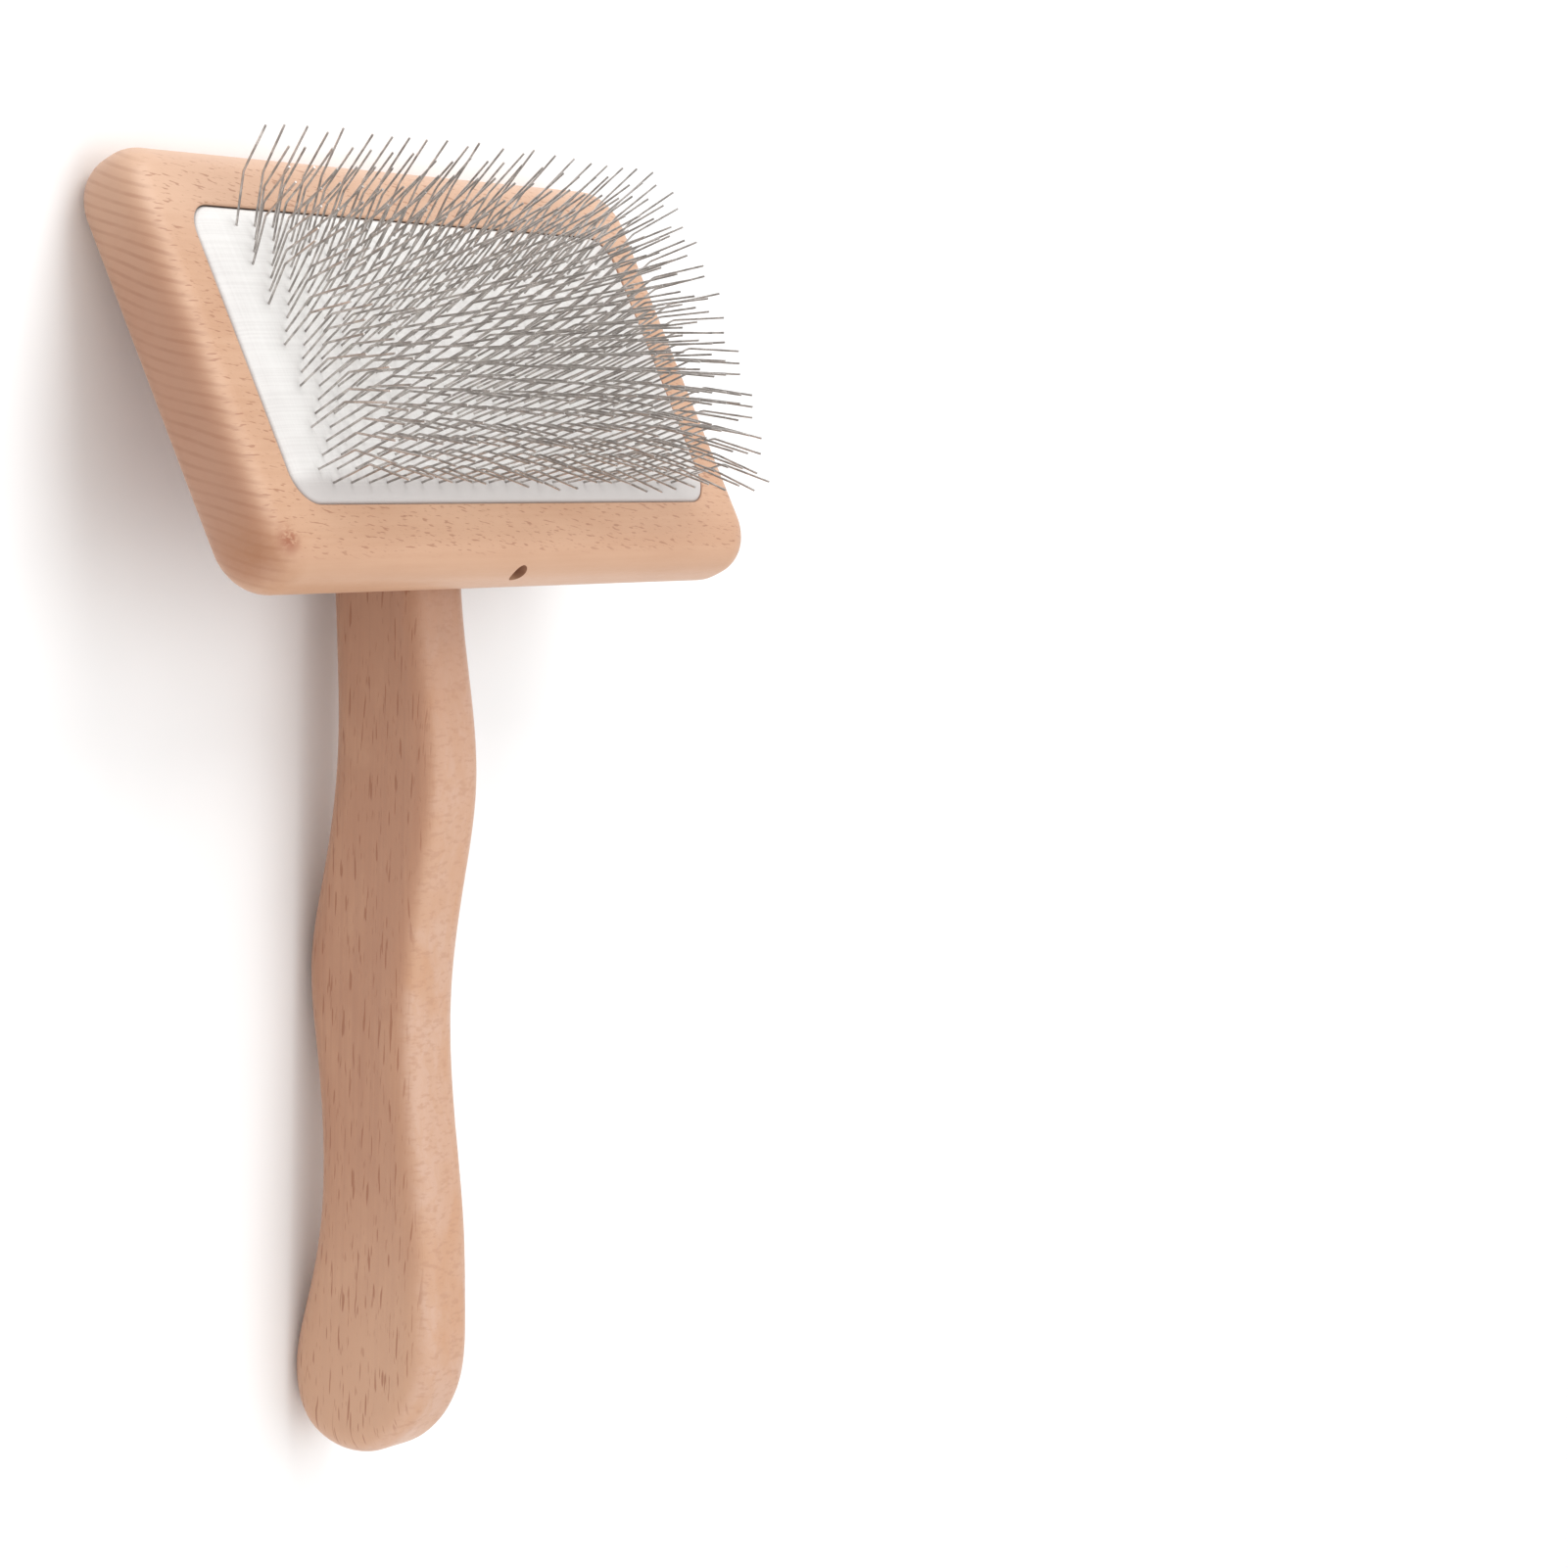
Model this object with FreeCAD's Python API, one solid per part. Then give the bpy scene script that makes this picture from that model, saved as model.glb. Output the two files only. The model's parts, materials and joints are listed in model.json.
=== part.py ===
import FreeCAD, Part
import math
import os
import random

from FreeCAD import Placement, Rotation, Vector

# Slicker brush: a wooden head block with a routed pocket, a pneumatic pin pad in the pocket and a
# waved wooden handle on the middle of the block's back.
#
# Everything is modelled in the head's own axes: X across the head, Y away from the handle, Z out of
# the head along the pins, with Z = 0 on the front face of the head block. At the end the whole brush
# is laid down on its back, so that the far back edge of the head and the bump near the end of the
# handle both touch the plane Z = 0. All lengths are millimetres.

# ---- head block ----
HEAD_WIDTH = 150.0
HEAD_HEIGHT = 78.0
HEAD_THICKNESS = 14.5
HEAD_CORNER_RADIUS = 9.4
FRONT_EDGE_RADIUS = 5.9
BACK_EDGE_RADIUS = 7.0

BORDER_WIDTH = 12.0            # wood left around the pocket, the same on all four sides
POCKET_CORNER_RADIUS = 5.7
POCKET_DEPTH = 10.0
POCKET_LIP_RADIUS = 0.4        # sanded edge of the pocket's mouth

GROOVE_TOP = -3.4              # undercut groove in the pocket wall that holds the membrane's bead
GROOVE_HEIGHT = 2.8
GROOVE_REACH = 2.0

VENT_RADIUS = 1.9              # air hole through the near edge, sloping down to the air chamber
VENT_X = -2.3
VENT_MOUTH_Z = -3.9
VENT_SLOPE = math.radians(21.0)

# ---- handle ----
HANDLE_THICKNESS = 17.0
HANDLE_EDGE_RADIUS = 5.2
HANDLE_TILT = math.radians(27.5)    # between the handle's axis and the head's plane
HANDLE_AXIS_Z = -12.6               # where that axis crosses the middle of the head

# the waved outline, as (distance along the axis towards the grip's end, distance off the axis)
FRONT_WAVE = [(42.0, 9.7), (68.0, 13.2), (88.0, 11.0), (106.0, 9.3), (126.0, 10.7), (148.0, 13.7),
              (162.0, 14.5)]
GRIP_END = [(175.1, 13.7), (184.1, 8.2), (187.9, 0.1), (184.3, -10.9), (174.5, -14.7)]
BACK_WAVE = [(162.0, -12.9), (148.0, -10.4), (136.0, -10.2), (118.0, -12.1), (101.0, -14.1), (85.0, -12.0),
             (66.0, -9.8), (48.0, -10.3), (24.0, -12.2)]
FOOT_NEAR_Y = -22.0                 # the sawn foot's two ends on the head's back
FOOT_FAR_Y = 21.0
OUTLINE_PIECES = 8                  # the curve is cut into this many edges, for simple faces

# ---- joint between head and handle ----
SCREW_YS = (-16.0, -6.5)
SCREW_RADIUS = 2.0
SCREW_HEAD_RADIUS = 3.8
SCREW_HEAD_HEIGHT = 2.3
SCREW_LENGTH = 15.0
SCREW_TIP = 3.0
SCREW_PILOT_RADIUS = 1.5
SCREW_CLEARANCE = 0.2
DOWEL_Y = 4.5
DOWEL_RADIUS = 3.0
DOWEL_IN_HEAD = 2.8
DOWEL_IN_HANDLE = 6.0

# ---- pin pad ----
MEMBRANE_THICKNESS = 1.2
MEMBRANE_TOP = -4.7
BEAD_CLEARANCE = 0.15
PAD_GAP = 0.9                  # from the stacked pad to the pocket wall
BACKING_BOTTOM = -4.3
BACKING_THICKNESS = 1.4
FELT_THICKNESS = 2.1
FACE_CROWN = 2.6               # height of the pad's middle over the wood
FACE_RIM = -0.2                # height of the face's rim at the middle of each side

# ---- pins ----
PIN_ROWS = 20
STAPLES_PER_ROW = 11
PIN_PITCH = 4.95
ROW_PITCH = 2.47
ROW_STAGGER = PIN_PITCH / 3.0  # three rows make one repeat of the pattern
PIN_FIELD_X = 1.5              # the field of pins sits this far off the middle of the pad
ROW_DRIFT = 6.5                # and its rows nearest the handle run out of line
WIRE_RADIUS = 0.2
LOWER_LENGTH = 10.3
UPPER_LENGTH = 9.6
KNEE_RADIUS = 1.6
CROWN_RADIUS = 0.8
CROWN_Z = BACKING_BOTTOM + 0.7
PIN_SPREAD = 2.0               # degrees of scatter between one pin and the next

POCKET_WIDTH = HEAD_WIDTH - 2.0 * BORDER_WIDTH
POCKET_HEIGHT = HEAD_HEIGHT - 2.0 * BORDER_WIDTH
FELT_BOTTOM = BACKING_BOTTOM + BACKING_THICKNESS
FACE_BOTTOM = FELT_BOTTOM + FELT_THICKNESS
PIN_HALF_X = (2 * STAPLES_PER_ROW - 1) / 2.0 * PIN_PITCH
PIN_HALF_Y = (PIN_ROWS - 1) / 2.0 * ROW_PITCH


def rounded_slab(width, height, radius, bottom, top):
    """A flat slab with rounded corners, centred on X = Y = 0."""
    slab = Part.makeBox(width, height, top - bottom, Vector(-width / 2.0, -height / 2.0, bottom))
    uprights = [e for e in slab.Edges if abs(e.tangentAt(e.FirstParameter).z) > 0.99]
    return slab.makeFillet(radius, uprights)


def edges_at_height(shape, z):
    return [e for e in shape.Edges if abs(e.BoundBox.ZMin - z) < 1e-4 and abs(e.BoundBox.ZMax - z) < 1e-4]


def grown_pocket(margin, bottom, top):
    """The pocket's plan made larger by margin on every side, between two heights."""
    return rounded_slab(POCKET_WIDTH + 2.0 * margin, POCKET_HEIGHT + 2.0 * margin,
                        POCKET_CORNER_RADIUS + margin, bottom, top)


def vent_drill():
    direction = Vector(0, math.cos(VENT_SLOPE), -math.sin(VENT_SLOPE))
    mouth = Vector(VENT_X, -HEAD_HEIGHT / 2.0, VENT_MOUTH_Z)
    return Part.makeCylinder(VENT_RADIUS, BORDER_WIDTH + 10.0, mouth - direction * 5.0, direction)


def screw(y):
    """A countersunk wood screw, driven from the pocket floor into the handle's foot."""
    top = -POCKET_DEPTH
    into = Vector(0, 0, -1)
    head = Part.makeCone(SCREW_HEAD_RADIUS, SCREW_RADIUS, SCREW_HEAD_HEIGHT, Vector(0, y, top), into)
    shank_length = SCREW_LENGTH - SCREW_HEAD_HEIGHT - SCREW_TIP
    shank = Part.makeCylinder(SCREW_RADIUS, shank_length, Vector(0, y, top - SCREW_HEAD_HEIGHT), into)
    point = Part.makeCone(SCREW_RADIUS, 0.2, SCREW_TIP, Vector(0, y, top - SCREW_LENGTH + SCREW_TIP), into)
    slot = Part.makeBox(2.0 * SCREW_HEAD_RADIUS, 1.0, 1.0, Vector(-SCREW_HEAD_RADIUS, y - 0.5, top - 1.0))
    cross = slot.copy()
    cross.rotate(Vector(0, y, 0), Vector(0, 0, 1), 90.0)
    return head.fuse([shank, point]).removeSplitter().cut(slot.fuse(cross))


def screw_clearance(y):
    """The countersunk hole that the screw passes through in the pocket floor."""
    top = -POCKET_DEPTH
    into = Vector(0, 0, -1)
    shank = SCREW_RADIUS + SCREW_CLEARANCE
    rim = SCREW_HEAD_RADIUS + SCREW_CLEARANCE
    sink = Part.makeCone(rim, shank, SCREW_HEAD_HEIGHT, Vector(0, y, top), into)
    hole = Part.makeCylinder(shank, HEAD_THICKNESS - POCKET_DEPTH, Vector(0, y, top), into)
    return sink.fuse(hole)


def dowel():
    return Part.makeCylinder(DOWEL_RADIUS, DOWEL_IN_HEAD + DOWEL_IN_HANDLE,
                             Vector(0, DOWEL_Y, -HEAD_THICKNESS + DOWEL_IN_HEAD), Vector(0, 0, -1))


def head_block():
    block = rounded_slab(HEAD_WIDTH, HEAD_HEIGHT, HEAD_CORNER_RADIUS, -HEAD_THICKNESS, 0.0)
    block = block.makeFillet(BACK_EDGE_RADIUS, edges_at_height(block, -HEAD_THICKNESS))
    block = block.makeFillet(FRONT_EDGE_RADIUS, edges_at_height(block, 0.0))
    block = block.cut(grown_pocket(0.0, -POCKET_DEPTH, 1.0))
    mouth = [e for e in edges_at_height(block, 0.0) if abs(e.BoundBox.XMax) < POCKET_WIDTH / 2.0 + 0.1
             and abs(e.BoundBox.XMin) < POCKET_WIDTH / 2.0 + 0.1
             and abs(e.BoundBox.YMax) < POCKET_HEIGHT / 2.0 + 0.1
             and abs(e.BoundBox.YMin) < POCKET_HEIGHT / 2.0 + 0.1]
    block = block.makeFillet(POCKET_LIP_RADIUS, mouth)
    block = block.cut(grown_pocket(GROOVE_REACH, GROOVE_TOP - GROOVE_HEIGHT, GROOVE_TOP))
    holes = [screw_clearance(y) for y in SCREW_YS]
    return block.cut([vent_drill(), dowel()] + holes)


def off_axis(along, off):
    """A point of the handle's outline, from its place along the handle's axis and off it."""
    y = -along * math.cos(HANDLE_TILT) - off * math.sin(HANDLE_TILT)
    z = HANDLE_AXIS_Z - along * math.sin(HANDLE_TILT) + off * math.cos(HANDLE_TILT)
    return Vector(0, y, z)


def handle_outline():
    """The side view: one smooth curve round the grip, and the sawn foot on the head's back."""
    foot_near = Vector(0, FOOT_NEAR_Y, -HEAD_THICKNESS)
    foot_far = Vector(0, FOOT_FAR_Y, -HEAD_THICKNESS)
    points = [foot_near] + [off_axis(*p) for p in FRONT_WAVE + GRIP_END + BACK_WAVE] + [foot_far]
    curve = Part.BSplineCurve()
    curve.interpolate(points)
    return curve, Part.LineSegment(foot_far, foot_near)


def handle():
    curve, foot = handle_outline()
    ends = [curve.FirstParameter + (curve.LastParameter - curve.FirstParameter) * k / OUTLINE_PIECES
            for k in range(OUTLINE_PIECES + 1)]
    pieces = [curve.toShape(ends[k], ends[k + 1]) for k in range(OUTLINE_PIECES)]
    face = Part.Face(Part.Wire(pieces + [foot.toShape()]))
    face.translate(Vector(-HANDLE_THICKNESS / 2.0, 0, 0))
    board = face.extrude(Vector(HANDLE_THICKNESS, 0, 0))
    waved = [e for e in board.Edges if e.BoundBox.XLength < 1e-6 and e.Curve.TypeId != "Part::GeomLine"]
    board = board.makeFillet(HANDLE_EDGE_RADIUS, waved)
    pilot_depth = SCREW_LENGTH - SCREW_TIP / 2.0
    into = Vector(0, 0, -1)
    pilots = [Part.makeCylinder(SCREW_PILOT_RADIUS, pilot_depth, Vector(0, y, -POCKET_DEPTH), into)
              for y in SCREW_YS]
    return board.cut([dowel()] + pilots)


def membrane():
    """The rubber sheet that closes the air chamber, with the bead that is sprung into the groove."""
    bead_height = GROOVE_HEIGHT - 2.0 * BEAD_CLEARANCE
    bead_bottom = GROOVE_TOP - GROOVE_HEIGHT + BEAD_CLEARANCE
    bead = grown_pocket(GROOVE_REACH - BEAD_CLEARANCE, bead_bottom, bead_bottom + bead_height)
    bead = bead.cut(grown_pocket(-BEAD_CLEARANCE, bead_bottom - 1.0, bead_bottom + bead_height + 1.0))
    sheet = grown_pocket(-BEAD_CLEARANCE / 2.0, MEMBRANE_TOP - MEMBRANE_THICKNESS, MEMBRANE_TOP)
    return bead.fuse(sheet).removeSplitter()


def pad_backing():
    return grown_pocket(-PAD_GAP, BACKING_BOTTOM, FELT_BOTTOM)


def pad_felt():
    return grown_pocket(-PAD_GAP, FELT_BOTTOM, FACE_BOTTOM)


def crown_radius(half_span):
    rise = FACE_CROWN - FACE_RIM
    return (half_span * half_span + rise * rise) / (2.0 * rise)


def crown_level(offset, half_span):
    """Height of the crowned face where only one of its two curves counts."""
    radius = crown_radius(half_span)
    return FACE_CROWN - radius + math.sqrt(radius * radius - offset * offset)


def face_level(x, y):
    return min(crown_level(x, POCKET_WIDTH / 2.0), crown_level(y, POCKET_HEIGHT / 2.0))


def crown_bar(half_span):
    """A bar along Y with a crowned top, as wide as the pocket's half span needs."""
    left = Vector(-half_span, 0, FACE_RIM)
    right = Vector(half_span, 0, FACE_RIM)
    left_foot = Vector(-half_span, 0, FACE_BOTTOM)
    right_foot = Vector(half_span, 0, FACE_BOTTOM)
    edges = [Part.Arc(left, Vector(0, 0, FACE_CROWN), right).toShape(),
             Part.LineSegment(right, right_foot).toShape(),
             Part.LineSegment(right_foot, left_foot).toShape(),
             Part.LineSegment(left_foot, left).toShape()]
    face = Part.Face(Part.Wire(edges))
    face.translate(Vector(0, -HEAD_WIDTH, 0))
    return face.extrude(Vector(0, 2.0 * HEAD_WIDTH, 0))


def pad_face():
    """The white facing cloth with its soft fill: flat below, crowned both ways above."""
    across = crown_bar(POCKET_WIDTH / 2.0)
    along = crown_bar(POCKET_HEIGHT / 2.0)
    along.rotate(Vector(0, 0, 0), Vector(0, 0, 1), 90.0)
    slab = grown_pocket(-PAD_GAP, FACE_BOTTOM - 1.0, FACE_CROWN + 1.0)
    return slab.common(across.common(along))


def leaning(x_degrees, y_degrees):
    """A unit vector that leans off the head's normal by an angle in each direction."""
    direction = Vector(math.tan(math.radians(x_degrees)), math.tan(math.radians(y_degrees)), 1.0)
    return direction.normalize()


def pin_points(across, along, shift, scatter):
    """Foot, knee and tip of one pin, from its place in the field as shares of the field's half size.

    Pins fan out from the middle of the field and bend back towards the handle.
    """
    x = across * PIN_HALF_X + shift
    y = along * PIN_HALF_Y
    dx = scatter.uniform(-PIN_SPREAD, PIN_SPREAD)
    dy = scatter.uniform(-PIN_SPREAD, PIN_SPREAD)
    lower_fan = 22.0 * along + 15.0 * along ** 2 - 6.0 * along ** 4 + 5.0 * across ** 2
    upper_fan = 24.0 * along + 9.0 * along ** 2 + 9.0 * along ** 3 - 4.0 * across
    lower = leaning(across * (23.0 + 7.0 * along) + dx, lower_fan + 1.0 + dy)
    upper = leaning(across * (14.0 + 3.0 * along) + 1.8 * dx, upper_fan - 20.0 + 1.8 * dy)
    exit_point = Vector(x, y, face_level(x, y))
    foot = exit_point - lower * ((exit_point.z - CROWN_Z) / lower.z)
    knee = exit_point + lower * LOWER_LENGTH
    return foot, knee, knee + upper * UPPER_LENGTH


def bent_wire(points, radii):
    """A round wire along straight runs, with an arc of the given radius at each inner point."""
    edges = []
    start = points[0]
    for i in range(1, len(points) - 1):
        back = (points[i - 1] - points[i]).normalize()
        ahead = (points[i + 1] - points[i]).normalize()
        half_angle = back.getAngle(ahead) / 2.0
        setback = radii[i - 1] / math.tan(half_angle)
        bisector = (back + ahead).normalize()
        middle = points[i] + bisector * (radii[i - 1] / math.sin(half_angle) - radii[i - 1])
        arc_start = points[i] + back * setback
        arc_end = points[i] + ahead * setback
        edges.append(Part.LineSegment(start, arc_start).toShape())
        edges.append(Part.Arc(arc_start, middle, arc_end).toShape())
        start = arc_end
    edges.append(Part.LineSegment(start, points[-1]).toShape())
    profile = Part.Wire(Part.makeCircle(WIRE_RADIUS, points[0], points[1] - points[0]))
    return Part.Wire(edges).makePipeShell([profile], True, False)


def staple(left, right):
    """One wire bent into two pins, with its crown inside the pad's backing."""
    path = [left[2], left[1], left[0], right[0], right[1], right[2]]
    return bent_wire(path, [KNEE_RADIUS, CROWN_RADIUS, CROWN_RADIUS, KNEE_RADIUS])


def pin_row(row):
    scatter = random.Random(100 + row)
    along = 2.0 * row / (PIN_ROWS - 1) - 1.0
    shift = PIN_FIELD_X + ((row + 2) % 3 - 1) * ROW_STAGGER - ROW_DRIFT * max(0.0, -along - 0.4)
    last = 2 * STAPLES_PER_ROW - 1
    pins = [pin_points(2.0 * k / last - 1.0, along, shift, scatter) for k in range(last + 1)]
    return Part.makeCompound([staple(pins[k], pins[k + 1]) for k in range(0, last, 2)])


def lowest(points, lay):
    return min(-p.y * math.sin(lay) + p.z * math.cos(lay) for p in points)


def lay_angle():
    """The tilt of the head at which its far back edge and the grip both touch the table."""
    curve, _ = handle_outline()
    grip = curve.toShape().discretize(400)
    centre = Vector(0, HEAD_HEIGHT / 2.0 - BACK_EDGE_RADIUS, BACK_EDGE_RADIUS - HEAD_THICKNESS)
    low, high = 0.0, math.pi / 3.0
    for _ in range(60):
        lay = (low + high) / 2.0
        head_level = lowest([centre], lay) - BACK_EDGE_RADIUS
        if lowest(grip, lay) < head_level:
            low = lay
        else:
            high = lay
    return lay


def laid_down(nodes):
    """Turn every node onto its back and put the middle of the brush's footprint at the origin."""
    turn = Placement(Vector(0, 0, 0), Rotation(Vector(1, 0, 0), -math.degrees(lay_angle())))
    turned = {name: shape.transformed(turn.toMatrix()) for name, shape in nodes.items()}
    box = Part.makeCompound(list(turned.values())).optimalBoundingBox(False, False)
    home = Vector(-(box.XMin + box.XMax) / 2.0, -(box.YMin + box.YMax) / 2.0, -box.ZMin)
    for shape in turned.values():
        shape.translate(home)
    print("tilt %.4f degrees, head centre at %.4f %.4f %.4f"
          % (math.degrees(lay_angle()), home.x, home.y, home.z))
    print("size %.2f x %.2f x %.2f" % (box.XLength, box.YLength, box.ZLength))
    return turned


def brush():
    nodes = {
        "head_block": head_block(),
        "handle": handle(),
        "handle_screws": Part.makeCompound([screw(y) for y in SCREW_YS]),
        "handle_dowel": dowel(),
        "membrane": membrane(),
        "pad_backing": pad_backing(),
        "pad_felt": pad_felt(),
        "pad_face": pad_face(),
    }
    for row in range(PIN_ROWS):
        nodes["pin_row_%02d" % (row + 1)] = pin_row(row)
    return laid_down(nodes)


os.makedirs("parts", exist_ok=True)
for node, shape in brush().items():
    shape.exportStep("parts/%s.step" % node)
    print("%-14s solids %2d valid %s volume %.1f" % (node, len(shape.Solids), shape.isValid(), shape.Volume))
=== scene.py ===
import json
import math

import bpy
from mathutils import Matrix, Vector


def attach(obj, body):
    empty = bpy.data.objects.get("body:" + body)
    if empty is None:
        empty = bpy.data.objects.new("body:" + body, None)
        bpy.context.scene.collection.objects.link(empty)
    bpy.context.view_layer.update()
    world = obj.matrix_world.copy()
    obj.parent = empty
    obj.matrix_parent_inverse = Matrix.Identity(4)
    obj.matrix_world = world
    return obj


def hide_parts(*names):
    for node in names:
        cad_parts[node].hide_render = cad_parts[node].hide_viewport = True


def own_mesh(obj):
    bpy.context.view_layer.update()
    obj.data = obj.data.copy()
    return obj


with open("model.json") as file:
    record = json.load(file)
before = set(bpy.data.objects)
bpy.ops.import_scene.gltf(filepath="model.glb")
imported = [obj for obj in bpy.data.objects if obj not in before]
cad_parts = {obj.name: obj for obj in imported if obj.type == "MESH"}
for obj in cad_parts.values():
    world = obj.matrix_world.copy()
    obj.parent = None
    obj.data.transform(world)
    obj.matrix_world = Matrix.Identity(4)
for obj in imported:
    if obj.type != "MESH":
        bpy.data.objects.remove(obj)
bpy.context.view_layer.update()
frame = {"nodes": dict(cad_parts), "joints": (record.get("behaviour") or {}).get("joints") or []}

# Looks of the slicker brush. The frame is in metres; the sizes and places below are in millimetres
# unless a comment says otherwise, and MM turns them into metres. The head leans on the table, so
# places on it are given along its own directions, from the middle of its face: across it, away
# from the handle, and out along the pins.

MM = 0.001
FULL_TURN = 2.0 * math.pi

# ---- camera, off the left end of the head and above it ----
CAMERA_PLACE = (-657.7, -209.5, 400.7)
CAMERA_AHEAD = (0.8598, 0.1537, -0.4869)
CAMERA_UP = (0.0569, 0.9188, 0.3905)
CAMERA_LENS = 104.83
CAMERA_SENSOR = 36.0

# ---- lights: direction from the head, distance and size in metres, power in watts ----
LIGHTS = {
    "key": ((0.05, 0.82, 0.56), 0.65, 0.55, 2.2),
    "top": ((0.2, -0.1, 1.0), 1.3, 1.2, 5.0),
    "fill": ((-0.25, -0.90, 0.36), 0.8, 0.55, 1.05),
}
WORLD_STRENGTH = 0.84
FLOOR_REACH = 4.0              # metres from the middle to each edge

# ---- pocket and facing cloth ----
POCKET_WIDTH = 126.0
POCKET_HEIGHT = 54.0
POCKET_CORNER = 5.7
HALF_WIDTH = POCKET_WIDTH / 2.0
HALF_HEIGHT = POCKET_HEIGHT / 2.0
CORNER_X = HALF_WIDTH - POCKET_CORNER      # middle of a rounded corner
CORNER_Y = HALF_HEIGHT - POCKET_CORNER
SKIN_GAP = 0.01                # between the cloth and the pocket wall
SKIN_STEP = 0.6                # mesh width
RIM_LEVEL = -0.38              # where the cloth meets the wall, below the wood's face
RIM_DROP = 0.35                # how much deeper it sits along the far wall
SHOULDER_RISE = 1.0            # the cloth rolls up this far over the shoulder's width
SHOULDER_WIDTH = 4.2
CROWN_RISE = 1.8
SKIN_THICKNESS = 0.5

# ---- dips of the cloth round the pins ----
DENT_RADIUS = 0.75
DENT_DEPTH = 0.28
DENT_LIMIT = 1.2               # neighbouring dips add up to this many at most
DENT_CELL = 4.0                # side of the squares that pins are looked up in
PIN_EDGE_RISE = 1.0            # shorter edges of a pin mesh run round the wire, not along it
PIN_GAP = 1.0                  # crossings further apart than this belong to different pins

# ---- membrane under the pad ----
SHEET_TOP = -4.7
SHEET_BOTTOM = -5.9
BEAD_TOP = -3.55
BEAD_BOTTOM = -6.05
BEAD_REACH = 1.85              # into the groove of the pocket wall
BEAD_EDGE = -0.15
SHEET_EDGE = -0.2
CORNER_STEPS = 8

# A fade is (from, to, share at from, share at to), and a share is how much of a second colour
# covers the first. A grain is the length of a noise along the three directions.

# ---- wood of the head ----
CLOUD_WEIGHT = 0.7
STREAK_WEIGHT = 0.3
# painted light and shade on the face: paler along its far edge, darker along its near one
FAR_EDGE_PAINTED_LIGHT_FADE = (12.0, 34.0, 0.0, 0.5)
NEAR_EDGE_PAINTED_SHADE_FADE = (-24.0, -35.0, 0.0, 0.45)
# the end grain's darkness is painted lighter towards the far edge, as painted light
END_GRAIN_PAINTED_LIGHT_FADE = (38.0, 5.0, 0.40, 0.80)         # of the darker end grain
RING_PITCH = 2.4
RING_SLOPE = 0.82              # how far a ring moves along the head for each step in depth
RING_WANDER = 5.0
RING_SHARE = 0.42
FLECK_TILT = math.radians(8.0)
FLECK_SHARE = 0.56
KNOT_PLACE = (-69.3, -33.0, -0.3)
KNOT_RADIUS = 3.4
KNOT_SHARE = 0.9
SMEAR_PLACE = (-73.0, -34.0, -5.0)
SMEAR_RADIUS = 11.0
SMEAR_SHARE = 0.7
WALL_MARGIN = 0.3              # how far past the pocket's plan still counts as its wall
WALL_FADE = (-0.15, -0.55)
SCORCH_FADE = (HALF_HEIGHT - 4.5, HALF_HEIGHT - 1.0)
FINE_FLECK_WEIGHT = 0.5

# ---- wood of the handle; its fades run along the frame's own Y ----
FIGURE_SHARE = 0.5
GRAIN_SHARE = 0.34
RAY_SHARE = 0.72
FINE_RAY_WEIGHT = 0.5
# painted shadow of the head on the front, near the head
HEAD_PAINTED_SHADOW_FADE = (-15.0, 45.0, 0.0, 0.55)
# painted light on the flat sides, towards the end of the grip
GRIP_END_PAINTED_LIGHT_FADE = (-50.0, -112.0, 0.0, 0.6)

# ---- both woods: faint relief under the lacquer ----
WOOD_BUMP = 0.13
WOOD_BUMP_DEPTH = 0.22
LACQUER_SHINE = 0.5

# ---- weave of the cloth, and the painted shade along its edges ----
WEAVE_PITCH = 0.42
WEAVE_WEIGHT = 0.25
CLOTH_TONE_WEIGHT = 0.16
# painted shade on the cloth's edges, where it rolls down to the wall
CLOTH_NEAR_PAINTED_SHADE_FADE = (-19.5, -25.0, 0.0, 1.0)
CLOTH_RIGHT_PAINTED_SHADE_FADE = (54.0, 61.5, 0.0, 0.50)
CLOTH_LEFT_PAINTED_SHADE_FADE = (-56.0, -62.0, 0.04, 0.32)

# ---- colours, as the eye sees them ----
BEECH_LIGHT = (0.800, 0.640, 0.525)
BEECH_PALE = (0.780, 0.630, 0.540)
BEECH_PAINTED_LIGHT_CREAM = (0.845, 0.705, 0.605)
BEECH_MID = (0.758, 0.588, 0.470)
BEECH_AMBER = (0.750, 0.560, 0.425)
BEECH_SIDE = (0.680, 0.497, 0.390)
BEECH_DARK = (0.640, 0.460, 0.365)
BEECH_RING = (0.580, 0.385, 0.280)
BEECH_FLECK = (0.575, 0.365, 0.255)
BEECH_SMEAR = (0.64, 0.43, 0.29)
BEECH_KNOT = (0.58, 0.32, 0.20)
BURNT_WALL = (0.30, 0.18, 0.11)
CLOTH_WHITE = (0.925, 0.918, 0.908)
CLOTH_SHADE = (0.765, 0.745, 0.735)
STEEL = (0.80, 0.78, 0.765)
STEEL_DULL = (0.62, 0.60, 0.585)
ZINC = (0.78, 0.78, 0.74)
ZINC_DULL = (0.62, 0.62, 0.60)
RUBBER = (0.86, 0.85, 0.83)
FELT = (0.88, 0.87, 0.84)
MOTTLE_SHARE = 0.92            # how much of its brightness rubber and felt keep in the mottles
FLOOR_WHITE = (0.97, 0.97, 0.97)
FLOOR_GREY = (0.96, 0.96, 0.96)


def linear(colour):
    """A colour as seen, as the linear values that shaders use."""
    values = [c / 12.92 if c <= 0.04045 else ((c + 0.055) / 1.055) ** 2.4 for c in colour]
    return tuple(values) + (1.0,)


# ---------------------------------------------------------------- the head's own directions

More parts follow.
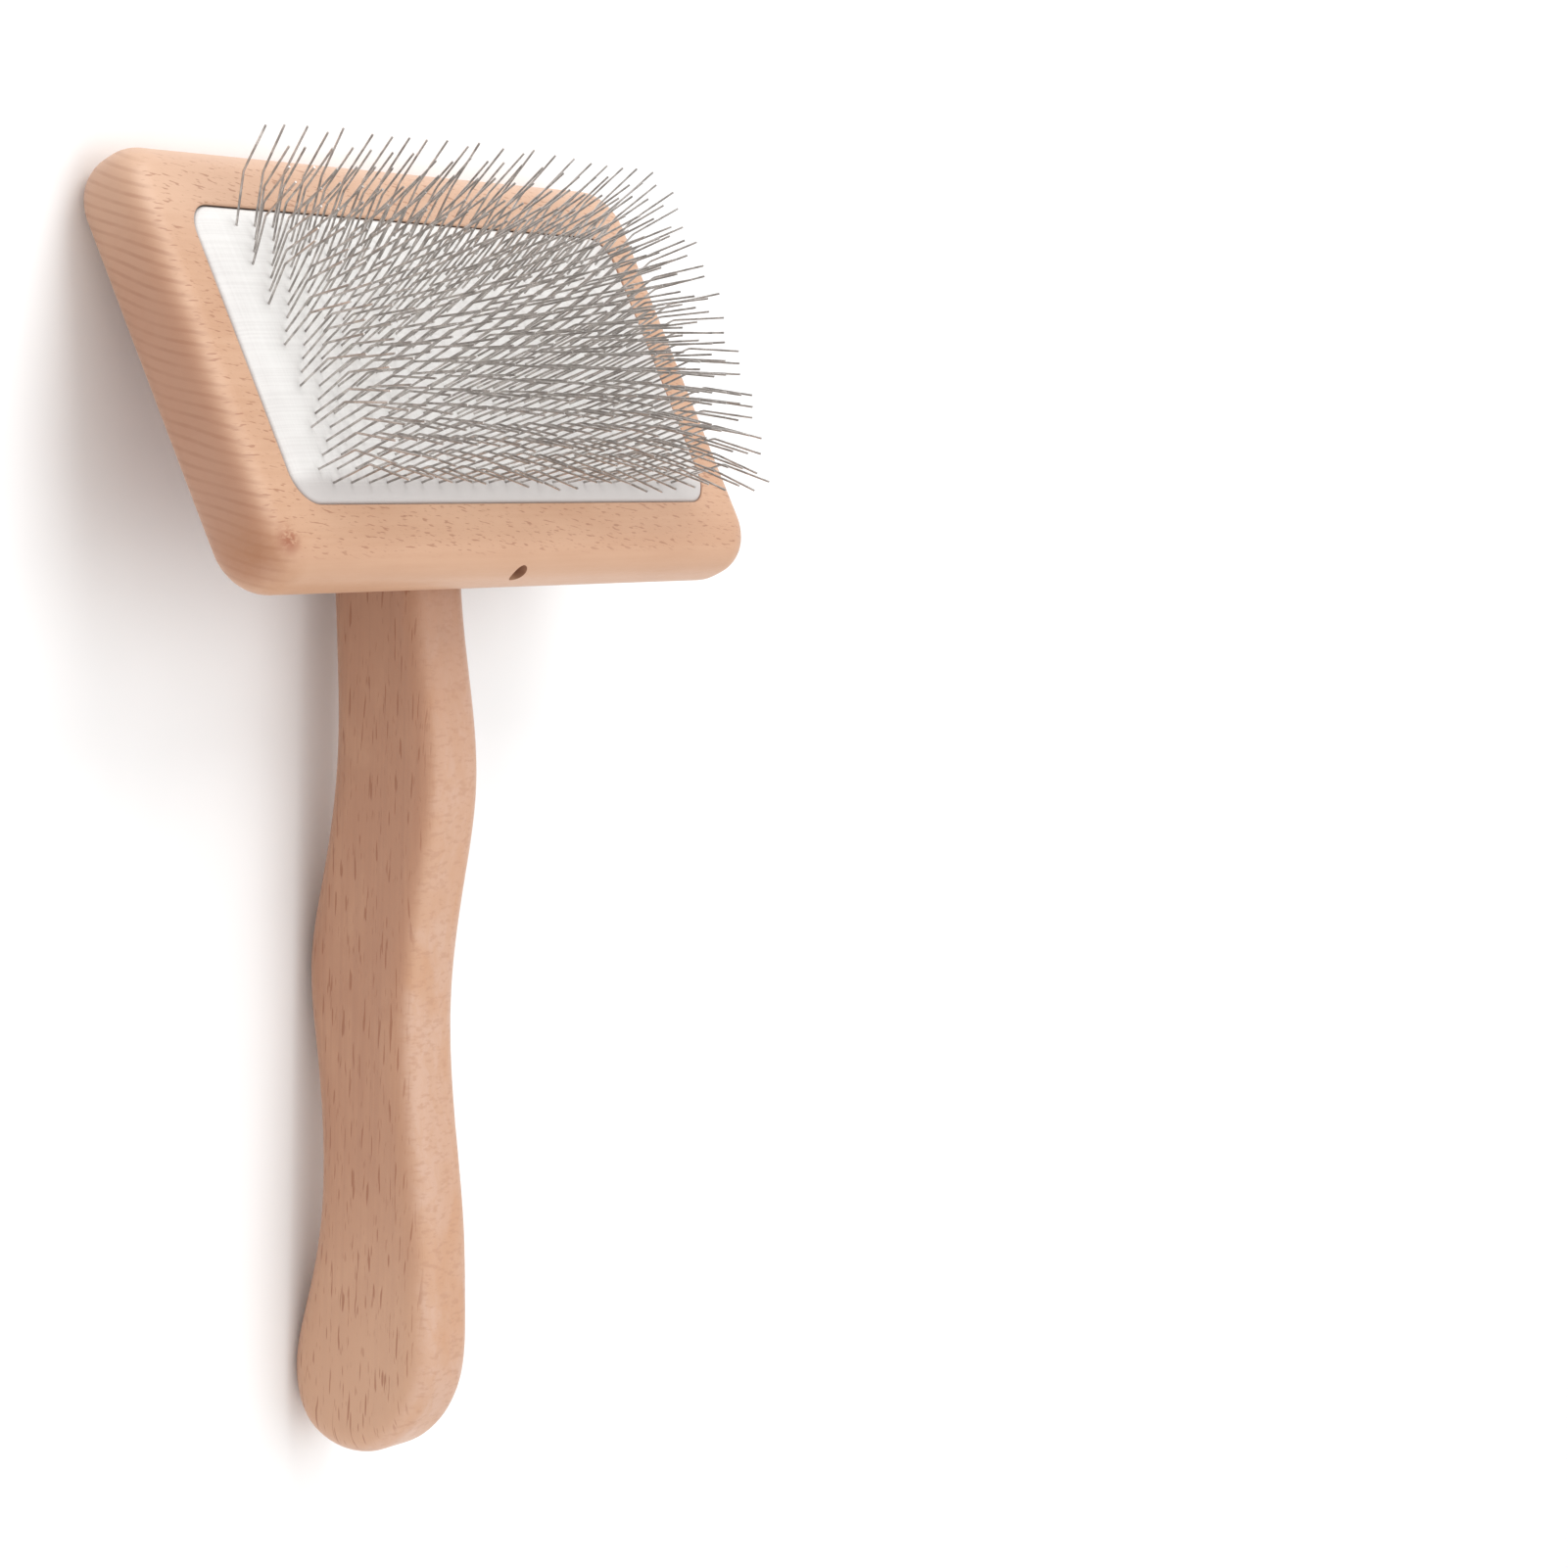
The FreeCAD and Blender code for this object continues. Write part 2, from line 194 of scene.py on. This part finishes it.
def head_axes():
    """Across the head, away from the handle and out of the head, and the middle of its face."""
    press = Vector(frame["joints"][0]["axis"]).normalized()
    out = -press
    across = Vector((1.0, 0.0, 0.0))
    away = out.cross(across)
    corners = [v.co for v in frame["nodes"]["head_block"].data.vertices]
    face = max(c.dot(out) for c in corners)
    spread = [c.dot(away) for c in corners]
    middle = (max(spread) + min(spread)) / 2.0
    return across, away, out, out * face + away * middle


ACROSS, AWAY, OUT, FACE_MIDDLE = head_axes()
HEAD_LEAN = math.atan2(OUT.y, OUT.z)


def on_head(x, y, z):
    """A point given in millimetres along the head's own directions."""
    return FACE_MIDDLE + (ACROSS * x + AWAY * y + OUT * z) * MM


def to_head(point):
    """The same in reverse: (across, away, out) in millimetres."""
    offset = Vector(point) - FACE_MIDDLE
    return offset.dot(ACROSS) / MM, offset.dot(AWAY) / MM, offset.dot(OUT) / MM


def add_object(name, data):
    """A new object in the scene."""
    made = bpy.data.objects.new(name, data)
    bpy.context.scene.collection.objects.link(made)
    return made


# ---------------------------------------------------------------- shader building

class Shader:
    """A node material with short calls for the nodes that the materials below share."""

    def __init__(self, name):
        self.material = bpy.data.materials.new(name)
        self.material.use_nodes = True
        self.tree = self.material.node_tree
        self.surface = self.tree.nodes["Principled BSDF"]

    def feed(self, socket, value):
        """Link or set a socket; a colour as seen becomes linear."""
        if isinstance(value, bpy.types.NodeSocket):
            self.tree.links.new(value, socket)
        elif socket.type == "RGBA":
            socket.default_value = linear(value)
        else:
            socket.default_value = value

    def node(self, kind, **settings):
        made = self.tree.nodes.new(kind)
        for key, value in settings.items():
            setattr(made, key, value)
        return made

    def math(self, operation, a, b=0.0, clamp=False):
        made = self.node("ShaderNodeMath", operation=operation, use_clamp=clamp)
        self.feed(made.inputs[0], a)
        self.feed(made.inputs[1], b)
        return made.outputs[0]

    def times(self, a, b):
        return self.math("MULTIPLY", a, b)

    def plus(self, a, b, clamp=False):
        return self.math("ADD", a, b, clamp)

    def wave(self, along, pitch, shift=0.0):
        """A sine that repeats at every pitch."""
        return self.math("SINE", self.plus(self.times(along, FULL_TURN / pitch), shift))

    def place(self, lean=0.0, offset=(0.0, 0.0, 0.0)):
        """The object's own coordinates in millimetres, leant about X and then shifted."""
        source = self.node("ShaderNodeTexCoord")
        made = self.node("ShaderNodeMapping")
        self.tree.links.new(source.outputs["Object"], made.inputs["Vector"])
        made.inputs["Rotation"].default_value = (lean, 0.0, 0.0)
        made.inputs["Scale"].default_value = (1.0 / MM, 1.0 / MM, 1.0 / MM)
        made.inputs["Location"].default_value = offset
        return made.outputs["Vector"]

    def noise(self, place, grain, detail=2.0, roughness=0.5, distortion=0.0, turn=0.0):
        """Noise with a grain of that length along the three directions, turned about the last."""
        turned = self.node("ShaderNodeVectorRotate", rotation_type="Z_AXIS")
        self.tree.links.new(place, turned.inputs["Vector"])
        turned.inputs["Angle"].default_value = turn
        scaled = self.node("ShaderNodeVectorMath", operation="MULTIPLY")
        self.tree.links.new(turned.outputs["Vector"], scaled.inputs[0])
        scaled.inputs[1].default_value = tuple(1.0 / g for g in grain)
        made = self.node("ShaderNodeTexNoise")
        self.tree.links.new(scaled.outputs["Vector"], made.inputs["Vector"])
        made.inputs["Scale"].default_value = 1.0
        made.inputs["Detail"].default_value = detail
        made.inputs["Roughness"].default_value = roughness
        made.inputs["Distortion"].default_value = distortion
        return made.outputs[0]

    def between(self, value, low, high, out_low=0.0, out_high=1.0):
        """value mapped smoothly from low..high to out_low..out_high."""
        made = self.node("ShaderNodeMapRange", interpolation_type="SMOOTHSTEP")
        self.feed(made.inputs["Value"], value)
        made.inputs["From Min"].default_value = low
        made.inputs["From Max"].default_value = high
        made.inputs["To Min"].default_value = out_low
        made.inputs["To Max"].default_value = out_high
        return made.outputs["Result"]

    def mix(self, share, a, b):
        """Colour b over colour a by a share; each is a colour as seen or another node's."""
        made = self.node("ShaderNodeMix", data_type="RGBA")
        self.feed(made.inputs["Factor"], share)
        self.feed(made.inputs[6], a)
        self.feed(made.inputs[7], b)
        return made.outputs[2]

    def parts(self, vector):
        made = self.node("ShaderNodeSeparateXYZ")
        self.tree.links.new(vector, made.inputs[0])
        return made.outputs

    def facing(self, direction):
        """How squarely the surface faces along a direction or against it, from 0 to 1."""
        source = self.node("ShaderNodeTexCoord")
        made = self.node("ShaderNodeVectorMath", operation="DOT_PRODUCT")
        self.tree.links.new(source.outputs["Normal"], made.inputs[0])
        made.inputs[1].default_value = direction
        return self.math("ABSOLUTE", made.outputs["Value"])

    def spot(self, place, middle, radius):
        """1 at a place and fading to 0 at a radius from it."""
        made = self.node("ShaderNodeVectorMath", operation="DISTANCE")
        self.tree.links.new(place, made.inputs[0])
        made.inputs[1].default_value = middle
        return self.between(made.outputs["Value"], 0.0, radius, 1.0, 0.0)

    def bump(self, height, strength, depth):
        made = self.node("ShaderNodeBump")
        self.feed(made.inputs["Height"], height)
        made.inputs["Strength"].default_value = strength
        made.inputs["Distance"].default_value = depth * MM
        self.tree.links.new(made.outputs["Normal"], self.surface.inputs["Normal"])

    def finish(self, colour, roughness, shine=None, metal=None):
        self.feed(self.surface.inputs["Base Color"], colour)
        self.feed(self.surface.inputs["Roughness"], roughness)
        if shine is not None:
            self.surface.inputs["Specular IOR Level"].default_value = shine
        if metal is not None:
            self.surface.inputs["Metallic"].default_value = metal
        return self.material


# ---------------------------------------------------------------- materials

def head_place(shader):
    """Millimetres along the head's own directions, from the middle of its face."""
    turn = Matrix.Rotation(HEAD_LEAN, 3, "X")
    return shader.place(HEAD_LEAN, tuple(turn @ FACE_MIDDLE / -MM))


def beech_head():
    """Lacquered beech with the grain across the head: flecks on the face, rings on the ends."""
    s = Shader("beech_head")
    place = head_place(s)
    x, y, z = s.parts(place)
    cloud = s.noise(place, (38.0, 13.0, 13.0), detail=3.0, roughness=0.55)
    streak = s.noise(place, (60.0, 1.3, 2.0), detail=3.0, roughness=0.6)
    tone = s.plus(s.times(cloud, CLOUD_WEIGHT), s.times(streak, STREAK_WEIGHT))
    wood = s.mix(s.between(tone, 0.36, 0.64), BEECH_LIGHT, BEECH_MID)

    # painted light and shade: the face is painted paler along its far edge, which faces the key
    # light, and darker along the near one
    wood = s.mix(s.between(y, *FAR_EDGE_PAINTED_LIGHT_FADE), wood, BEECH_PAINTED_LIGHT_CREAM)
    wood = s.mix(s.between(y, *NEAR_EDGE_PAINTED_SHADE_FADE), wood, BEECH_MID)

    # the end grain is darker, with painted light making it paler towards the far edge, and growth
    # rings run over it as thin, slightly wavy lines
    on_end = s.facing(ACROSS)
    wander = s.noise(place, (40.0, 26.0, 30.0), detail=1.0)
    age = s.plus(s.plus(y, s.times(z, RING_SLOPE)), s.times(wander, RING_WANDER))
    line = s.between(s.wave(age, RING_PITCH), 0.1, 1.0)
    strength = s.between(s.noise(place, (50.0, 5.0, 24.0)), 0.34, 0.66, 0.45, 1.0)
    ring = s.times(s.times(line, strength), s.between(on_end, 0.12, 0.60))
    dark_end_painted_light = s.times(s.between(on_end, 0.36, 0.90), s.between(y, *END_GRAIN_PAINTED_LIGHT_FADE))
    wood = s.mix(dark_end_painted_light, wood, BEECH_DARK)
    wood = s.mix(s.times(ring, RING_SHARE), wood, BEECH_RING)

    # short ray flecks on the face, and finer ones between them
    face = s.between(s.facing(OUT), 0.80, 0.96)
    long_fleck = s.noise(place, (3.0, 0.54, 3.4), detail=1.0, turn=FLECK_TILT)
    fine_fleck = s.noise(place, (1.8, 0.36, 2.6), detail=1.0, turn=FLECK_TILT)
    flecks = s.plus(s.between(long_fleck, 0.615, 0.69),
                    s.times(s.between(fine_fleck, 0.64, 0.71), FINE_FLECK_WEIGHT), clamp=True)
    flecks = s.times(flecks, face)
    wood = s.mix(s.times(flecks, FLECK_SHARE), wood, BEECH_FLECK)

    # a small red-brown knot on the near left corner of the face, and a brown smear beside it
    mottled = s.noise(place, (2.2, 1.4, 2.0), detail=3.0, roughness=0.6)
    smear = s.times(s.spot(place, SMEAR_PLACE, SMEAR_RADIUS),
                    s.between(mottled, 0.2, 0.7, 0.6, 1.0))
    wood = s.mix(s.times(smear, SMEAR_SHARE), wood, BEECH_SMEAR)
    knot = s.times(s.spot(place, KNOT_PLACE, KNOT_RADIUS), s.between(mottled, 0.35, 0.55))
    wood = s.mix(s.times(knot, KNOT_SHARE), wood, BEECH_KNOT)

    # the pocket wall: scorched by the router on the far side, plain cut wood on the others
    in_width = s.math("LESS_THAN", s.math("ABSOLUTE", x), HALF_WIDTH + WALL_MARGIN)
    in_height = s.math("LESS_THAN", s.math("ABSOLUTE", y), HALF_HEIGHT + WALL_MARGIN)
    wall = s.times(s.times(in_width, in_height), s.between(z, *WALL_FADE))
    scorched = s.between(y, *SCORCH_FADE)
    wood = s.mix(wall, wood, s.mix(scorched, BEECH_DARK, BURNT_WALL))

    pores = s.noise(place, (2.2, 0.22, 0.22), roughness=0.6)
    s.bump(s.math("SUBTRACT", pores, s.times(flecks, 0.8)), WOOD_BUMP, WOOD_BUMP_DEPTH)
    return s.finish(wood, s.between(pores, 0.3, 0.7, 0.38, 0.46), shine=LACQUER_SHINE)


def beech_handle():
    """The same beech along the handle: short rays on the flat sides, clouds on the front."""
    s = Shader("beech_handle")
    place = s.place()
    side = s.between(s.facing((1.0, 0.0, 0.0)), 0.50, 0.93)
    _, along, _ = s.parts(place)
    cloud = s.noise(place, (11.0, 24.0, 11.0), detail=4.0, roughness=0.6, distortion=0.6)

    # the front: clouds, a wavier figure and fine specks, and a painted shadow of the head that
    # darkens it towards the head
    figure = s.noise(place, (3.0, 5.0, 5.0), detail=3.0, roughness=0.6, distortion=0.9)
    speck = s.noise(place, (2.2, 0.9, 2.2), roughness=0.6)
    front = s.mix(s.between(cloud, 0.36, 0.66, 0.0, 0.8), BEECH_PALE, BEECH_AMBER)
    front = s.mix(s.times(s.between(figure, 0.42, 0.62), FIGURE_SHARE), front, BEECH_MID)
    front = s.mix(s.between(speck, 0.50, 0.66, 0.0, 0.38), front, BEECH_SIDE)
    front = s.mix(s.between(along, *HEAD_PAINTED_SHADOW_FADE), front, BEECH_SIDE)

    # the flat sides: long grain, with painted light making them lighter towards the end of the
    # grip
    grain = s.noise(place, (8.0, 70.0, 0.9), detail=3.0, roughness=0.6)
    flat = s.mix(s.between(cloud, 0.25, 0.60, 0.60, 1.0), BEECH_MID, BEECH_SIDE)
    flat = s.mix(s.times(s.between(grain, 0.42, 0.66), GRAIN_SHARE), flat, BEECH_DARK)
    flat = s.mix(s.between(along, *GRIP_END_PAINTED_LIGHT_FADE), flat, BEECH_LIGHT)
    wood = s.mix(side, front, flat)

    # short dark rays on the flat sides, and finer ones between them
    ray = s.noise(place, (4.0, 7.0, 0.60), detail=1.0)
    fine_ray = s.noise(place, (3.0, 3.4, 0.40), detail=1.0)
    rays = s.plus(s.between(ray, 0.63, 0.69),
                  s.times(s.between(fine_ray, 0.65, 0.72), FINE_RAY_WEIGHT), clamp=True)
    rays = s.times(rays, side)
    wood = s.mix(s.times(rays, RAY_SHARE), wood, BEECH_FLECK)

    pores = s.noise(place, (0.25, 2.6, 0.25), roughness=0.6)
    s.bump(s.math("SUBTRACT", pores, s.times(rays, 0.9)), WOOD_BUMP, WOOD_BUMP_DEPTH)
    return s.finish(wood, s.between(pores, 0.3, 0.7, 0.34, 0.44), shine=LACQUER_SHINE)


def bare_beech():
    """Unlacquered beech of the dowel, with its grain along the dowel."""
    s = Shader("bare_beech")
    grain = s.noise(s.place(HEAD_LEAN), (0.8, 0.8, 9.0), detail=3.0, roughness=0.6)
    s.bump(grain, 0.3, 0.2)
    return s.finish(s.mix(s.between(grain, 0.35, 0.65), BEECH_MID, BEECH_DARK), 0.7)


def pin_wire():
    """Bright drawn steel wire with faint draw marks and a little dullness from patch to patch."""
    s = Shader("pin_wire")
    place = s.place()
    patch = s.noise(place, (2.5, 2.5, 2.5), detail=3.0, roughness=0.6)
    marks = s.noise(place, (0.12, 0.12, 1.6))
    s.bump(marks, 0.15, 0.03)
    colour = s.mix(s.between(patch, 0.35, 0.65), STEEL, STEEL_DULL)
    return s.finish(colour, s.between(patch, 0.3, 0.7, 0.26, 0.40), metal=1.0)


def plated_steel():
    """Zinc-plated steel of the screws, a little dull in patches."""
    s = Shader("plated_steel")
    patch = s.noise(s.place(), (1.4, 1.4, 1.4), detail=3.0, roughness=0.6)
    s.bump(patch, 0.1, 0.05)
    return s.finish(s.mix(s.between(patch, 0.3, 0.7), ZINC, ZINC_DULL), 0.33, metal=1.0)


def soft_sheet(name, colour, roughness, pebble_size):
    """Moulded rubber or pressed felt: a fine pebble in the surface and a little mottling."""
    s = Shader(name)
    place = head_place(s)
    pebble = s.noise(place, (pebble_size, pebble_size, pebble_size), roughness=0.6)
    mottle = s.noise(place, (9.0, 9.0, 9.0), detail=3.0)
    s.bump(pebble, 0.35, 0.12)
    shade = tuple(MOTTLE_SHARE * c for c in colour)
    return s.finish(s.mix(s.between(mottle, 0.3, 0.7), colour, shade), roughness)


def facing_cloth():
    """White rubber-proofed cotton: a fine weave under a thin, slightly shiny skin."""
    s = Shader("facing_cloth")
    place = head_place(s)
    x, y, _ = s.parts(place)

    # a plain weave, and the unevenness from thread to thread that shows as faint lines
    wobble = s.noise(place, (9.0, 9.0, 9.0))
    over = s.times(s.wave(x, WEAVE_PITCH, wobble), s.wave(y, WEAVE_PITCH, wobble))
    along_x = s.noise(place, (40.0, WEAVE_PITCH * 0.9, 4.0), detail=1.0)
    along_y = s.noise(place, (WEAVE_PITCH * 0.9, 30.0, 4.0), detail=1.0)
    threads = s.plus(s.times(along_x, 0.65), s.times(along_y, 0.35))
    s.bump(s.plus(s.times(over, WEAVE_WEIGHT), threads), 0.16, 0.16)

    mottle = s.noise(place, (14.0, 14.0, 14.0), detail=3.0)
    tone = s.plus(s.times(s.between(threads, 0.38, 0.66), CLOTH_TONE_WEIGHT),
                  s.times(s.between(mottle, 0.35, 0.7), CLOTH_TONE_WEIGHT))

    # painted shade in strips along the near, left and right edges, where the cloth rolls down to
    # the wall and no pins stand
    sides = s.math("MAXIMUM", s.between(x, *CLOTH_LEFT_PAINTED_SHADE_FADE), s.between(x, *CLOTH_RIGHT_PAINTED_SHADE_FADE))
    painted_shade_strips = s.math("MAXIMUM", s.between(y, *CLOTH_NEAR_PAINTED_SHADE_FADE), sides)
    tone = s.plus(tone, painted_shade_strips, clamp=True)
    return s.finish(s.mix(tone, CLOTH_WHITE, CLOTH_SHADE), 0.42, shine=0.4)


def floor_white():
    """White paper, hardly uneven."""
    s = Shader("floor_white")
    speck = s.noise(s.place(), (40.0, 40.0, 40.0))
    return s.finish(s.mix(s.between(speck, 0.3, 0.7), FLOOR_WHITE, FLOOR_GREY), 0.8)


# ---------------------------------------------------------------- CAD nodes keep their shape

def pin_rows():
    return sorted(name for name in frame["nodes"] if name.startswith("pin_row_"))


def dress(node, material):
    """Give a CAD node a material in every slot it has."""
    data = frame["nodes"][node].data
    if not data.materials:
        data.materials.append(material)
    for k in range(len(data.materials)):
        data.materials[k] = material


def dress_cad_nodes(rubber):
    wire = pin_wire()
    dress("head_block", beech_head())
    dress("handle", beech_handle())
    dress("handle_dowel", bare_beech())
    dress("handle_screws", plated_steel())
    dress("pad_backing", rubber)
    dress("pad_felt", soft_sheet("pressed_felt", FELT, 0.9, 0.18))
    for name in pin_rows():
        dress(name, wire)


# ---------------------------------------------------------------- the facing cloth

def from_wall(x, y):
    """Distance of a point inside the pocket's plan from the pocket wall."""
    dx = abs(x) - CORNER_X
    dy = abs(y) - CORNER_Y
    if dx > 0.0 and dy > 0.0:
        return POCKET_CORNER - math.hypot(dx, dy)
    return POCKET_CORNER - max(dx, dy)


def skin_level(x, y):
    """Height of the smooth cloth over the wood's face: a quick shoulder, then a low crown."""
    t = min(max(from_wall(x, y) / SHOULDER_WIDTH, 0.0), 1.0)
    shoulder = math.sqrt(1.0 - (1.0 - t) ** 2)
    crown = (1.0 - (x / HALF_WIDTH) ** 2) * (1.0 - (y / HALF_HEIGHT) ** 2)
    rim = RIM_LEVEL - RIM_DROP * max(0.0, y / HALF_HEIGHT) ** 2
    return rim + SHOULDER_RISE * shoulder + CROWN_RISE * crown


def cloth_crossings(mesh):
    """Where the edges of a row of pins cross the smooth cloth, from left to right."""
    places = [to_head(v.co) for v in mesh.vertices]
    crossings = []
    for edge in mesh.edges:
        low, high = sorted((places[i] for i in edge.vertices), key=lambda p: p[2])
        if high[2] - low[2] < PIN_EDGE_RISE:
            continue
        level = skin_level(low[0], low[1])
        if low[2] < level < high[2]:
            share = (level - low[2]) / (high[2] - low[2])
            crossings.append(tuple(low[k] + (high[k] - low[k]) * share for k in (0, 1)))
    return sorted(crossings)


def pin_exits():
    """Where each pin comes out of the cloth: the middle of its own crossings."""
    exits = []
    for name in pin_rows():
        group = []
        for spot in cloth_crossings(frame["nodes"][name].data) + [(math.inf, 0.0)]:
            if group and spot[0] - group[-1][0] > PIN_GAP:
                exits.append(tuple(sum(g[k] for g in group) / len(group) for k in (0, 1)))
                group = []
            group.append(spot)
    return exits


def dent_field():
    """A function of a place that says how far the pins round it dip the cloth there."""
    near = {}
    for x, y in pin_exits():
        near.setdefault((round(x / DENT_CELL), round(y / DENT_CELL)), []).append((x, y))

    def dent(x, y):
        depth = 0.0
        column, line = round(x / DENT_CELL), round(y / DENT_CELL)
        for i in (column - 1, column, column + 1):
            for j in (line - 1, line, line + 1):
                for px, py in near.get((i, j), ()):
                    squared = (x - px) ** 2 + (y - py) ** 2
                    depth += math.exp(-squared / (2.0 * DENT_RADIUS ** 2))
        return DENT_DEPTH * min(depth, DENT_LIMIT)

    return dent


def round_corner(x, y):
    """Move a point of the plain rectangle onto the rounded plan, keeping lines unbroken."""
    a = (abs(x) - CORNER_X) / POCKET_CORNER
    b = (abs(y) - CORNER_Y) / POCKET_CORNER
    if a <= 0.0 or b <= 0.0:
        return x, y
    shrink = max(a, b) / math.hypot(a, b)
    return (math.copysign(CORNER_X + a * shrink * POCKET_CORNER, x),
            math.copysign(CORNER_Y + b * shrink * POCKET_CORNER, y))


def skin_surface():
    """The outside of the cloth as a plain grid, bent to the pocket's plan and dipped."""
    dent = dent_field()
    columns = round(POCKET_WIDTH / SKIN_STEP)
    lines = round(POCKET_HEIGHT / SKIN_STEP)
    shrink_x = 1.0 - SKIN_GAP / HALF_WIDTH
    shrink_y = 1.0 - SKIN_GAP / HALF_HEIGHT
    points = []
    for j in range(lines + 1):
        for i in range(columns + 1):
            x, y = round_corner((i / columns - 0.5) * POCKET_WIDTH,
                                (j / lines - 0.5) * POCKET_HEIGHT)
            points.append(on_head(x * shrink_x, y * shrink_y, skin_level(x, y) - dent(x, y)))
    wide = columns + 1
    faces = [(j * wide + i, j * wide + i + 1, (j + 1) * wide + i + 1, (j + 1) * wide + i)
             for j in range(lines) for i in range(columns)]
    mesh = bpy.data.meshes.new("facing_skin")
    mesh.from_pydata(points, [], faces)
    mesh.shade_smooth()
    return mesh


def facing_skin():
    """The white cloth from wall to wall of the pocket, given its thickness."""
    skin = add_object("facing_skin", skin_surface())
    thick = skin.modifiers.new("thickness", "SOLIDIFY")
    thick.thickness = SKIN_THICKNESS * MM
    thick.offset = -1.0
    bpy.context.view_layer.update()
    seen = skin.evaluated_get(bpy.context.evaluated_depsgraph_get())
    solid = bpy.data.meshes.new_from_object(seen)
    skin.modifiers.clear()
    skin.data = solid
    solid.materials.append(facing_cloth())
    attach(skin, "brush")
    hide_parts("pad_face")
    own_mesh(skin)


# ---------------------------------------------------------------- the membrane

def pocket_loop(margin, level):
    """The pocket's rounded plan, made larger by margin on every side, at a height."""
    radius = POCKET_CORNER + margin
    points = []
    for quarter, (sx, sy) in enumerate(((1, 1), (-1, 1), (-1, -1), (1, -1))):
        for step in range(CORNER_STEPS + 1):
            angle = math.pi / 2.0 * (quarter + step / CORNER_STEPS)
            points.append(on_head(sx * CORNER_X + radius * math.cos(angle),
                                  sy * CORNER_Y + radius * math.sin(angle), level))
    return points


def rubber_piece(name, rubber, loops, closed):
    """Loops joined in turn into a piece of the membrane: a closed ring, or capped at both ends."""
    count = len(loops[0])
    points = [p for loop in loops for p in loop]
    faces = []
    for k in range(len(loops) if closed else len(loops) - 1):
        low = k * count
        high = (k + 1) % len(loops) * count
        faces += [(low + i, low + (i + 1) % count, high + (i + 1) % count, high + i)
                  for i in range(count)]
    if not closed:
        faces.append(tuple(range(count - 1, -1, -1)))
        faces.append(tuple(range((len(loops) - 1) * count, len(loops) * count)))
    mesh = bpy.data.meshes.new(name)
    mesh.from_pydata(points, [], faces)
    mesh.materials.append(rubber)
    piece = add_object(name, mesh)
    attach(piece, "brush")
    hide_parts("membrane")
    return piece


def rubber_membrane(rubber):
    """The bead, which sits in the groove of the pocket wall, and the sheet inside it, both fixed
    to the brush.
    """
    corners = ((BEAD_REACH, BEAD_BOTTOM), (BEAD_REACH, BEAD_TOP),
               (BEAD_EDGE, BEAD_TOP), (BEAD_EDGE, BEAD_BOTTOM))
    rubber_piece("membrane_bead", rubber, [pocket_loop(*c) for c in corners], True)
    levels = (SHEET_BOTTOM, SHEET_TOP)
    sheet = rubber_piece("membrane_sheet", rubber,
                         [pocket_loop(SHEET_EDGE, level) for level in levels], False)
    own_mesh(sheet)


# ---------------------------------------------------------------- stage

def floor():
    """A white floor at the height of the table."""
    mesh = bpy.data.meshes.new("floor")
    r = FLOOR_REACH
    mesh.from_pydata([(-r, -r, 0), (r, -r, 0), (r, r, 0), (-r, r, 0)], [], [(0, 1, 2, 3)])
    mesh.materials.append(floor_white())
    add_object("floor", mesh)


def soft_light(name, direction, distance, size, power):
    """A square soft box that looks at the head from a direction."""
    light = bpy.data.lights.new(name, "AREA")
    light.size = size
    light.energy = power
    lamp = add_object(name, light)
    towards = Vector(direction).normalized()
    lamp.location = FACE_MIDDLE + towards * distance
    lamp.rotation_euler = towards.to_track_quat("Z", "Y").to_euler()


def lights():
    """An even white room, and the soft boxes."""
    world = bpy.data.worlds.new("studio")
    world.use_nodes = True
    background = world.node_tree.nodes["Background"]
    background.inputs["Color"].default_value = (1.0, 1.0, 1.0, 1.0)
    background.inputs["Strength"].default_value = WORLD_STRENGTH
    bpy.context.scene.world = world
    for name, settings in LIGHTS.items():
        soft_light(name, *settings)


def camera():
    """The photograph's own view, from the fit of the head's outline."""
    lens = bpy.data.cameras.new("camera")
    lens.sensor_width = CAMERA_SENSOR
    lens.lens = CAMERA_LENS
    lens.clip_start = 0.01
    eye = add_object("camera", lens)
    axes = Matrix((ACROSS, AWAY, OUT)).transposed()
    look = (axes @ Vector(CAMERA_AHEAD)).normalized()
    right = look.cross(axes @ Vector(CAMERA_UP)).normalized()
    turn = Matrix((right, right.cross(look), -look)).transposed()
    eye.matrix_world = Matrix.Translation(on_head(*CAMERA_PLACE)) @ turn.to_4x4()
    bpy.context.scene.camera = eye


bpy.context.scene.view_settings.view_transform = "Standard"
camera()
floor()
lights()
white_rubber = soft_sheet("white_rubber", RUBBER, 0.5, 0.35)
dress_cad_nodes(white_rubber)
facing_skin()
rubber_membrane(white_rubber)
